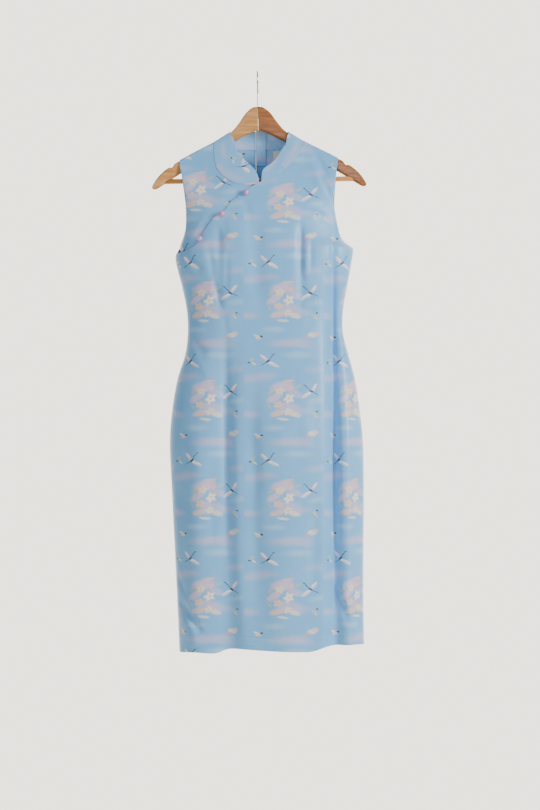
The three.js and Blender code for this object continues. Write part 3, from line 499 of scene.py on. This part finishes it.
def printedSatin(name, roughness, tintShift, shift):
    # polyester satin, woven and then transfer-printed: a soft sheen along the drape, and a print
    # whose edges bleed a little; the real thread of 0.1 mm is drawn coarser so that it shows
    material, tree, shader = newMaterial(name)
    uv = addNode(tree, "ShaderNodeUVMap", uv_map="flat cut")
    wander = addNode(tree, "ShaderNodeTexNoise", {"Vector": uv.outputs["UV"], "Scale": 1 / (14 * mm),
                                                  "Detail": 3.0})
    centred = addNode(tree, "ShaderNodeVectorMath", {0: wander.outputs["Color"], 1: (0.5, 0.5, 0.5)},
                      operation="SUBTRACT")
    pushed = addNode(tree, "ShaderNodeVectorMath",
                     {0: centred.outputs[0], 1: (printed["wander"] * 2 * mm,) * 2 + (0.0,),
                      2: uv.outputs["UV"]}, operation="MULTIPLY_ADD")
    halfX, halfY = printed["repeatX"] / 2 * mm, printed["repeatY"] / 2 * mm
    placed = addNode(tree, "ShaderNodeVectorMath",
                     {0: pushed.outputs[0], 1: ((printed["originX"] + shift[0]) * mm,
                                                (printed["originY"] + shift[1]) * mm, 0)},
                     operation="SUBTRACT")
    tile = addNode(tree, "ShaderNodeVectorMath", {0: placed.outputs[0], 1: (halfX, halfY, 1),
                                                  2: (-halfX, -halfY, -1)}, operation="WRAP").outputs[0]
    tone = addNode(tree, "ShaderNodeTexNoise", {"Vector": uv.outputs["UV"], "Scale": 1 / (60 * mm),
                                                "Detail": 2.0})
    ground = addNode(tree, "ShaderNodeMix", {0: tone.outputs["Fac"], 6: linear("#68B0EE"),
                                             7: linear("#7FC4F8")}, data_type="RGBA")
    colour = ground.outputs[2]

    def laid(under, mask, ink):
        return addNode(tree, "ShaderNodeMix", {0: mask, 6: under, 7: linear(inks[ink])},
                       data_type="RGBA").outputs[2]

    def ovalSpace(x, y, long, short, turn):
        return addNode(tree, "ShaderNodeMapping",
                       {"Vector": tile, "Location": (x * mm, y * mm, 0),
                        "Rotation": (0, 0, math.radians(turn)), "Scale": (long * mm, short * mm, 1)},
                       vector_type="TEXTURE").outputs[0]

    def masked(distance, soft, strength):
        return addNode(tree, "ShaderNodeMapRange", {"Value": distance, "From Min": 1 + soft,
                                                    "From Max": 1 - soft, "To Min": 0.0,
                                                    "To Max": strength},
                       interpolation_type="SMOOTHSTEP").outputs[0]

    for x, y, long, short, turn, ink, soft, strength in wispOvals + sprayOvals:
        away = addNode(tree, "ShaderNodeVectorMath", {0: ovalSpace(x, y, long, short, turn)},
                       operation="LENGTH")
        colour = laid(colour, masked(away.outputs["Value"], soft, strength), ink)
    for x, y, radius, turn, petals, ink in blossoms:
        space = ovalSpace(x, y, radius, radius * 0.8, turn)
        away = addNode(tree, "ShaderNodeVectorMath", {0: space}, operation="LENGTH").outputs["Value"]
        split = addNode(tree, "ShaderNodeSeparateXYZ", {0: space})
        angle = addNode(tree, "ShaderNodeMath", {0: split.outputs["Y"], 1: split.outputs["X"]},
                        operation="ARCTAN2")
        wave = addNode(tree, "ShaderNodeMath", {0: angle.outputs[0], 1: float(petals)},
                       operation="MULTIPLY")
        lobes = addNode(tree, "ShaderNodeMath", {0: wave.outputs[0]}, operation="COSINE")
        edge = addNode(tree, "ShaderNodeMath", {0: lobes.outputs[0], 1: 0.2, 2: 0.78},
                       operation="MULTIPLY_ADD")
        share = addNode(tree, "ShaderNodeMath", {0: away, 1: edge.outputs[0]}, operation="DIVIDE")
        colour = laid(colour, masked(share.outputs[0], 0.16, 0.95), "rose" if ink == "pink" else "peach")
        colour = laid(colour, masked(addNode(tree, "ShaderNodeMath", {0: share.outputs[0], 1: 1.25},
                                             operation="MULTIPLY").outputs[0], 0.25, 0.9), ink)
        colour = laid(colour, masked(addNode(tree, "ShaderNodeMath", {0: away, 1: 5.0},
                                             operation="MULTIPLY").outputs[0], 0.4, 0.8), "leaf")
    for x, y, long, short, turn, ink, soft, strength in smallOvals + craneStamps():
        away = addNode(tree, "ShaderNodeVectorMath", {0: ovalSpace(x, y, long, short, turn)},
                       operation="LENGTH")
        colour = laid(colour, masked(away.outputs["Value"], soft, strength), ink)
    tinted = addNode(tree, "ShaderNodeHueSaturation", {"Color": colour, "Saturation": tintShift[0],
                                                       "Value": tintShift[1]})
    tree.links.new(tinted.outputs[0], shader.inputs["Base Color"])
    weave = addNode(tree, "ShaderNodeTexWave", {"Vector": uv.outputs["UV"],
                                                "Scale": 1 / (printed["weaveWidth"] * 20 * mm),
                                                "Distortion": 1.5}, bands_direction="DIAGONAL")
    soft = addNode(tree, "ShaderNodeTexNoise", {"Vector": uv.outputs["UV"], "Scale": 1 / (24 * mm),
                                                "Detail": 4.0})
    relief = addNode(tree, "ShaderNodeBump", {"Strength": 0.5, "Distance": 1.6 * mm,
                                              "Height": soft.outputs["Fac"]})
    threads = addNode(tree, "ShaderNodeBump", {"Strength": 0.12, "Distance": 0.15 * mm,
                                               "Height": weave.outputs["Fac"],
                                               "Normal": relief.outputs[0]})
    tree.links.new(threads.outputs[0], shader.inputs["Normal"])
    shader.inputs["Roughness"].default_value = roughness
    shader.inputs["Sheen Weight"].default_value = 0.25
    shader.inputs["Sheen Roughness"].default_value = 0.4
    shader.inputs["Specular IOR Level"].default_value = 0.5
    return material


satin = printedSatin("polyester satin, woven and printed", 0.42, (1.0, 1.0), (0, 0))
satinCollar = printedSatin("polyester satin, printed and fused", 0.46, (0.95, 1.02), (-60, 40))

# panels
print("panels")
panelShares = {"front": 110, "half": 60, "opening": 34, "neck": 22}


def spread(count, kind):
    share = np.linspace(0, 1, count + 1)
    if kind == "both":
        curved = (1 - np.cos(np.pi * share)) / 2
    elif kind == "left":
        curved = 1 - np.cos(np.pi * share / 2)
    else:
        curved = np.sin(np.pi * share / 2)
    return share * 0.25 + curved * 0.75


openingShares = np.linspace(0, 1, panelShares["opening"] + 1)
neckShares = np.linspace(0, 1, panelShares["neck"] + 1)[1:]
leftEdge = np.concatenate([sideEdge("left"), along(openingEdge, openingShares),
                           along(neckFrontRight, neckShares)])
rightEdge = np.concatenate([sideEdge("right"),
                            along(armholeRight, np.linspace(0, 1, len(leftEdge) - len(sideZ)))])
shares = spread(panelShares["front"], "both")
places = np.concatenate([rowsBetween(leftEdge, rightEdge, shares),
                         shoulderRows(form["neckRight"], form["tipRight"], shares)])
places = hemmed(frontHem, places)
points = surface("front", places[..., 0], places[..., 1])
frontPanel = clothPiece("frontPanel", points, flatPlaces(points, 20), satin)

# the two back halves, from side seam and armhole to the centre back
backPieces = {}
for side in ("left", "right"):
    isLeft = side == "left"
    upper = 56
    hole = along(armholeLeft if isLeft else armholeRight, np.linspace(0, 1, upper))
    hole[:, 0] += (-3.5 if isLeft else 3.5) * np.sin(np.pi * np.linspace(0, 1, upper))
    outer = np.concatenate([sideEdge(side), hole])
    centreZ = np.concatenate([sideZ, np.linspace(-380, -164, 36)])
    gapSide = -form["seam"] / 2 if isLeft else form["seam"] / 2
    centre = np.stack([centreBack(centreZ) + gapSide, centreZ], axis=1)
    neck = along(neckBackLeft if isLeft else neckBackRight, np.linspace(0, 1, upper - 36))
    inner = np.concatenate([centre, neck])
    shares = spread(panelShares["half"], side)
    if isLeft:
        rows = rowsBetween(outer, inner, shares)
        top = shoulderRows(form["tipLeft"], form["neckLeft"], shares)
    else:
        rows = rowsBetween(inner, outer, shares)
        top = shoulderRows(form["neckRight"], form["tipRight"], shares)
    places = hemmed(backHem, np.concatenate([rows, top]))
    points = surface("back", places[..., 0], places[..., 1])
    name = "backLeft" if isLeft else "backRight"
    backPieces[name] = clothPiece(name, points, flatPlaces(points, 12, (30, 20)), satin, flip=True)

# under lap, which runs on under the front along the curved opening
lap = {"columns": 64, "rows": 70, "step": 1.5, "fade": 20}
openingFine = along(openingEdge, np.linspace(0, 1, 120))


def lapInside(x, z):
    away = np.min(np.hypot(x[..., None] - openingFine[:, 0], z[..., None] - openingFine[:, 1]), axis=-1)
    order = np.argsort(openingFine[:, 0])
    edgeZ = np.interp(x, openingFine[order, 0], openingFine[order, 1])
    step = lap["step"] * (1 + smooth(-x, 70, 130))
    return np.where(z < edgeZ, step, step * (1 - smooth(away, 1, lap["fade"])))


lapShares = np.linspace(0, 1, lap["columns"] + 1)
lapUp = np.linspace(0, 1, lap["rows"] + 1)
lapLeft = along([lapEdge[0]] + armholeLeft[1:], lapUp)
lapRight = along(neckFrontLeft, lapUp)
rows = rowsBetween(lapLeft, lapRight, lapShares)
bend = along(lapEdge, lapShares) - rows[0]
rows = rows + bend[None] * (1 - lapUp)[:, None, None]
places = np.concatenate([rows, shoulderRows(form["tipLeft"], form["neckLeft"], lapShares)])
points = surface("front", places[..., 0], places[..., 1], lapInside(places[..., 0], places[..., 1]))
underLap = clothPiece("underLap", points, flatPlaces(points, 20, (14, -26)), satin)

# collar
print("collar")
collar = {"rows": 20, "frontSteps": 60, "backSteps": 40, "lift": {"front": 0.25, "back": 0.05},
          "clear": 0.7, "sideLeft": -57, "sideRight": 63.5, "bulge": 2.2}


def collarHalf(side):
    isLeft = side == "left"
    neckX = form["neckLeft"] if isLeft else form["neckRight"]
    sideX = collar["sideLeft"] if isLeft else collar["sideRight"]
    frontLine = [(3.2, -237.2)] + neckFrontLeft[1:] if isLeft else neckFrontRight[1:]
    even = np.linspace(0, 1, collar["frontSteps"])
    evenBack = np.linspace(0, 1, collar["backSteps"])
    front = along(frontLine, even)
    back = along(neckBackLeft if isLeft else neckBackRight, evenBack)[::-1]

    def overArm(x, extra=0.0):
        drops = shoulderDrops[:-1]
        rise = shoulderLine(np.array([x]))[0]
        frontSide = surface("front", np.full(len(drops), x), rise - drops)
        backSide = surface("back", np.full(len(drops), x), rise - drops)[::-1]
        ridge = np.array([[x, armForward(np.array([x]))[0], rise]])
        return np.concatenate([frontSide, ridge, backSide]) + np.array([0, 0, extra])

    foot = np.concatenate([surface("front", front[:, 0], front[:, 1]), overArm(neckX),
                           surface("back", back[:, 0], back[:, 1])])
    top = np.concatenate([along(collarTopLeft if isLeft else collarTopRight, even),
                          overArm(sideX, collar["clear"]),
                          along(collarBackLeft if isLeft else collarBackRight, evenBack)])
    gapSide = -form["seam"] / 2 if isLeft else form["seam"] / 2
    foot[-1, 0] = top[-1, 0] = form["centreBackTop"] + gapSide
    # ease the corners where the pieces of the outline meet
    for line in (foot, top):
        for _ in range(6):
            line[1:-1] = line[1:-1] * 0.5 + (line[:-2] + line[2:]) * 0.25
    rise = top - foot
    height = np.linalg.norm(rise, axis=1, keepdims=True)
    lift = np.where(np.arange(len(foot)) < len(foot) - collar["backSteps"],
                    collar["lift"]["front"], collar["lift"]["back"])[:, None]
    start = foot + rise / height * lift
    up = np.linspace(0, 1, collar["rows"] + 1)[:, None, None]
    grid = start[None] + (top - start)[None] * up
    run = np.concatenate([[0], np.cumsum(np.linalg.norm(np.diff(foot, axis=0), axis=1))])
    uv = np.stack([np.broadcast_to(run, grid.shape[:2]) * (-1 if isLeft else 1),
                   np.broadcast_to(up[:, :, 0] * height[:, 0], grid.shape[:2])], axis=-1)
    return grid, uv


collarPieces = {}
for side in ("left", "right"):
    grid, uv = collarHalf(side)
    name = "collarLeft" if side == "left" else "collarRight"
    collarPieces[name] = clothPiece(name, grid, uv, satinCollar, thickness=1.3, flip=side == "right")

# zip guard and sewn label
print("zip guard and label")
guard = {"left": -3, "right": 18, "top": -120, "bottom": -194, "inset": 2.4}
label = {"left": 33, "right": 66, "top": -163.5, "height": 23, "inset": 2.6}
seamY = float(surface("back", form["centreBackTop"], neckBackLeft[0][1])[1])
guardZ = np.linspace(guard["bottom"], guard["top"], 40)
guardX = np.linspace(guard["left"], guard["right"], 14)
gridX, gridZ = np.meshgrid(guardX, guardZ)
points = surface("back", gridX, gridZ, guard["inset"])
collarY = seamY + (21 - seamY) * (gridZ + 162) / 42 - guard["inset"]
blend = smooth(gridZ, -170, -160)
points[..., 1] = points[..., 1] * (1 - blend) + collarY * blend
zipGuard = clothPiece("zipGuard", points, np.stack([gridX, gridZ], axis=-1) + (30, 0), satinCollar,
                      thickness=1.0)

labelX = np.linspace(label["left"], label["right"], 22)
labelZ = np.linspace(label["top"] - label["height"], label["top"], 16)
gridX, gridZ = np.meshgrid(labelX, labelZ)
points = surface("back", gridX, gridZ, label["inset"])
points[..., 1] -= 1.2 * np.sin((gridZ - label["top"]) / label["height"] * math.pi) ** 2
tape, tapeTree, tapeShader = newMaterial("polyester tape, woven")
# woven label tape: a close ribbed weave, cream and without lustre
tapeUv = addNode(tapeTree, "ShaderNodeUVMap", uv_map="flat cut")
ribs = addNode(tapeTree, "ShaderNodeTexWave", {"Vector": tapeUv.outputs["UV"], "Scale": 1 / (14 * mm)},
               bands_direction="Y")
tapeTone = addNode(tapeTree, "ShaderNodeMix", {0: ribs.outputs["Fac"], 6: linear("#E6DAC2"),
                                               7: linear("#EFE6D2")}, data_type="RGBA")
tapeTree.links.new(tapeTone.outputs[2], tapeShader.inputs["Base Color"])
tapeBump = addNode(tapeTree, "ShaderNodeBump", {"Strength": 0.3, "Distance": 0.2 * mm,
                                                "Height": ribs.outputs["Fac"]})
tapeTree.links.new(tapeBump.outputs[0], tapeShader.inputs["Normal"])
tapeShader.inputs["Roughness"].default_value = 0.75
sewnLabel = clothPiece("sewnLabel", points, np.stack([gridX, gridZ], axis=-1), tape, thickness=0.7)

# ball buttons
print("buttons")
button = {"radius": 6, "places": [(-22.7, -259.5), (-72, -303.5), (-116.6, -354)], "squash": 0.92}
pearl, pearlTree, pearlShader = newMaterial("acrylic pearl, moulded and lacquered")
# moulded ball with a pearl lacquer: lilac pink, glossy, a little cloudy
pearlCoord = addNode(pearlTree, "ShaderNodeTexCoord")
pearlCloud = addNode(pearlTree, "ShaderNodeTexNoise", {"Vector": pearlCoord.outputs["Object"],
                                                       "Scale": 1 / (5 * mm), "Detail": 2.0})
pearlTone = addNode(pearlTree, "ShaderNodeMix", {0: pearlCloud.outputs["Fac"], 6: linear("#B878B4"),
                                                 7: linear("#DDB2E4")}, data_type="RGBA")
pearlTree.links.new(pearlTone.outputs[2], pearlShader.inputs["Base Color"])
pearlShader.inputs["Roughness"].default_value = 0.22
pearlShader.inputs["Coat Weight"].default_value = 0.6
pearlShader.inputs["Coat Roughness"].default_value = 0.08
buttonPieces = []
for index, (x, z) in enumerate(button["places"]):
    here = surface("front", x, z)
    across = surface("front", x + 4, z) - surface("front", x - 4, z)
    up = surface("front", x, z + 4) - surface("front", x, z - 4)
    out = Vector(np.cross(across, up)).normalized()
    turn = out.to_track_quat("Z", "Y").to_matrix().to_4x4()
    bm = bmesh.new()
    bmesh.ops.create_uvsphere(bm, u_segments=36, v_segments=20, radius=button["radius"] * mm)
    bmesh.ops.scale(bm, vec=(1, 1, button["squash"]), verts=bm.verts)
    bmesh.ops.translate(bm, verts=bm.verts, vec=(0, 0, (button["radius"] - 0.2) * mm))
    bmesh.ops.create_cone(bm, cap_ends=True, segments=20, radius1=3.0 * mm, radius2=2.2 * mm, depth=2.4 * mm,
                          matrix=Matrix.Translation((0, 0, 0.9 * mm)))
    bmesh.ops.transform(bm, matrix=Matrix.Translation(Vector(here) * mm) @ turn, verts=bm.verts)
    mesh = bpy.data.meshes.new(f"ballButton{index + 1}")
    bm.to_mesh(mesh)
    bm.free()
    for polygon in mesh.polygons:
        polygon.use_smooth = True
    mesh.materials.append(pearl)
    buttonPieces.append(addObject(f"ballButton{index + 1}", mesh))

# hanger
print("hanger")
hanger = {"half": 6.5, "barRadius": 5.25, "barEnd": 198, "barZ": -229, "stations": 150, "ring": 40}
tiltMatrix = Matrix.Rotation(-math.radians(form["tilt"]), 4, "Y")


def lacqueredWood(name, dark, light, ringWidth):
    # lotus wood, planed, sanded and lacquered: long streaky grain under a clear coat
    material, tree, shader = newMaterial(name)
    coord = addNode(tree, "ShaderNodeTexCoord")
    lean = addNode(tree, "ShaderNodeMapping", {"Vector": coord.outputs["Object"],
                                               "Rotation": (0, math.radians(26), 0),
                                               "Scale": (0.09, 1, 1)})
    streaks = addNode(tree, "ShaderNodeTexNoise", {"Vector": lean.outputs[0], "Scale": 1 / (ringWidth * mm),
                                                   "Detail": 5.0, "Roughness": 0.6, "Distortion": 0.6})
    pores = addNode(tree, "ShaderNodeTexNoise", {"Vector": lean.outputs[0], "Scale": 1 / (1.1 * mm),
                                                 "Detail": 2.0})
    ramp = addNode(tree, "ShaderNodeMapRange", {"Value": streaks.outputs["Fac"], "From Min": 0.32,
                                                "From Max": 0.68})
    tone = addNode(tree, "ShaderNodeMix", {0: ramp.outputs[0], 6: linear(dark), 7: linear(light)},
                   data_type="RGBA")
    fine = addNode(tree, "ShaderNodeMapRange", {"Value": pores.outputs["Fac"], "From Min": 0.55,
                                                "From Max": 0.8, "To Min": 0.0, "To Max": 0.35})
    grain = addNode(tree, "ShaderNodeMix", {0: fine.outputs[0], 6: tone.outputs[2], 7: linear(dark)},
                    data_type="RGBA")
    tree.links.new(grain.outputs[2], shader.inputs["Base Color"])
    bump = addNode(tree, "ShaderNodeBump", {"Strength": 0.15, "Distance": 0.2 * mm,
                                            "Height": pores.outputs["Fac"]})
    tree.links.new(bump.outputs[0], shader.inputs["Normal"])
    shader.inputs["Roughness"].default_value = 0.38
    shader.inputs["Coat Weight"].default_value = 0.35
    shader.inputs["Coat Roughness"].default_value = 0.2
    return material


paleWood = lacqueredWood("lotus wood, sanded and lacquered", "#B57A3C", "#D9A566", 7)
# the right arm's wood is a darker copy of the same lotus wood: painted shade for the arm that turns away
# from the light
shadedWood = lacqueredWood("lotus wood, sanded and lacquered, darkened as painted shade", "#7E4A22", "#B4743C", 5)


def hangerArm(name, sign, material):
    stations = np.concatenate([[0.2], np.linspace(2, 222, hanger["stations"])])
    top = lookUp(armOutline, "x", "top", stations)
    bottom = lookUp(armOutline, "x", "bottom", stations)
    angles = np.linspace(0, 2 * math.pi, hanger["ring"] + 1)
    rise, run = np.sin(angles), np.cos(angles)
    thick = hanger["half"] * (1 - 0.45 * smooth(stations, 208, 222))
    rounding = np.minimum(thick, (top - bottom) / 2)
    straight = (top - bottom) / 2 - rounding
    sides = np.clip(rise * 6, -1, 1)
    z = (top + bottom)[:, None] / 2 + sides * straight[:, None] + rounding[:, None] * rise
    y = -form["armBow"] * (stations / form["armReach"])[:, None] ** 2 + thick[:, None] * run
    x = np.broadcast_to(stations[:, None] * sign, z.shape)
    grid = np.stack([x, y, z], axis=-1)
    bm = bmesh.new()
    bmesh.ops.create_grid(bm, x_segments=hanger["ring"], y_segments=len(stations) - 1, size=0.5)
    for vert in bm.verts:
        j = round((vert.co.x + 0.5) * hanger["ring"])
        i = round((vert.co.y + 0.5) * (len(stations) - 1))
        vert.co = tiltMatrix @ Vector(grid[i, j % hanger["ring"]] * mm)
    bmesh.ops.remove_doubles(bm, verts=bm.verts, dist=0.00001)
    bmesh.ops.holes_fill(bm, edges=bm.edges, sides=0)
    bmesh.ops.recalc_face_normals(bm, faces=bm.faces)
    for face in bm.faces:
        face.smooth = len(face.verts) == 4
    mesh = bpy.data.meshes.new(name)
    bm.to_mesh(mesh)
    bm.free()
    mesh.materials.append(material)
    return addObject(name, mesh)


hangerLeft = hangerArm("hangerLeft", -1, paleWood)
# the right arm takes the darker copy of the wood, which is painted shade
hangerRight = hangerArm("hangerRight", 1, shadedWood)

bm = bmesh.new()
barY = -form["armBow"] * (hanger["barEnd"] / form["armReach"]) ** 2
bmesh.ops.create_cone(bm, cap_ends=True, segments=40, radius1=hanger["barRadius"] * mm,
                      radius2=hanger["barRadius"] * mm, depth=2 * hanger["barEnd"] * mm,
                      matrix=Matrix.Translation((0, barY * mm, hanger["barZ"] * mm))
                      @ Matrix.Rotation(math.pi / 2, 4, "Y"))
bmesh.ops.transform(bm, matrix=tiltMatrix, verts=bm.verts)
for face in bm.faces:
    face.smooth = len(face.verts) == 4
barMesh = bpy.data.meshes.new("hangerBar")
bm.to_mesh(barMesh)
bm.free()
barMesh.materials.append(paleWood)
hangerBar = addObject("hangerBar", barMesh)

# hook
print("hook")
hook = {"wire": 1.7, "radius": 20, "stemTop": -47, "stemBottom": -98}
chrome, chromeTree, chromeShader = newMaterial("steel wire, drawn and chromed")
# drawn steel wire with bright chrome: a mirror finish with faint drawing lines
chromeCoord = addNode(chromeTree, "ShaderNodeTexCoord")
drawn = addNode(chromeTree, "ShaderNodeTexNoise", {"Vector": chromeCoord.outputs["Object"],
                                                   "Scale": 1 / (0.8 * mm), "Detail": 1.0})
drawnRough = addNode(chromeTree, "ShaderNodeMapRange", {"Value": drawn.outputs["Fac"], "To Min": 0.1,
                                                        "To Max": 0.24})
chromeTree.links.new(drawnRough.outputs[0], chromeShader.inputs["Roughness"])
chromeShader.inputs["Base Color"].default_value = linear("#C9CCD0")
chromeShader.inputs["Metallic"].default_value = 1.0
turns = np.radians(np.arange(-105, 121, 7.5))
centreZ = hook["wire"] - hook["radius"]
path = [(0, -hook["radius"] * math.sin(t), centreZ + hook["radius"] * math.cos(t)) for t in turns]
path += [(0, -1.5, hook["stemTop"] + 5), (0, 0, hook["stemTop"] - 3)]
path = [tuple(p) for p in along(path, np.linspace(0, 1, 90))] + [(0, 0, hook["stemBottom"])]
wireCurve = bpy.data.curves.new("hookWire", "CURVE")
wireCurve.dimensions = "3D"
wireCurve.bevel_depth = hook["wire"] * mm
wireCurve.bevel_resolution = 5
wireCurve.use_fill_caps = True
wireSpline = wireCurve.splines.new("POLY")
wireSpline.points.add(len(path) - 1)
for target, place in zip(wireSpline.points, path):
    target.co = (*(tiltMatrix @ (Vector(place) * mm)), 1)
wireSpline.use_smooth = True
wireCurve.materials.append(chrome)
hookWire = addObject("hookWire", wireCurve)

# attach each piece to the root body and hide the frame part it stands in for
print("declarations")
standIns = {
    frontPanel: ("front", "satin"), underLap: ("under_lap", "satin"),
    backPieces["backLeft"]: ("back_left", "satin"), backPieces["backRight"]: ("back_right", "satin"),
    collarPieces["collarLeft"]: ("collar_left", "satin"),
    collarPieces["collarRight"]: ("collar_right", "satin"), zipGuard: ("zip_guard", "satin"),
    sewnLabel: ("label", "label"), buttonPieces[0]: ("button_1", "button"),
    buttonPieces[1]: ("button_2", "button"), buttonPieces[2]: ("button_3", "button"),
    hangerLeft: ("hanger_left", "pale_wood"), hangerRight: ("hanger_right", "brown_wood"),
    hangerBar: ("hanger_bar", "pale_wood"), hookWire: ("hook", "hook_steel"),
}
for piece, (nodeName, slotName) in standIns.items():
    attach(piece, "root")
    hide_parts(nodeName)

for piece in standIns:
    if piece.type == "MESH":
        measured = sum(polygon.area for polygon in piece.data.polygons)
        print("area", piece.name, round(measured, 5), "faces", len(piece.data.polygons))
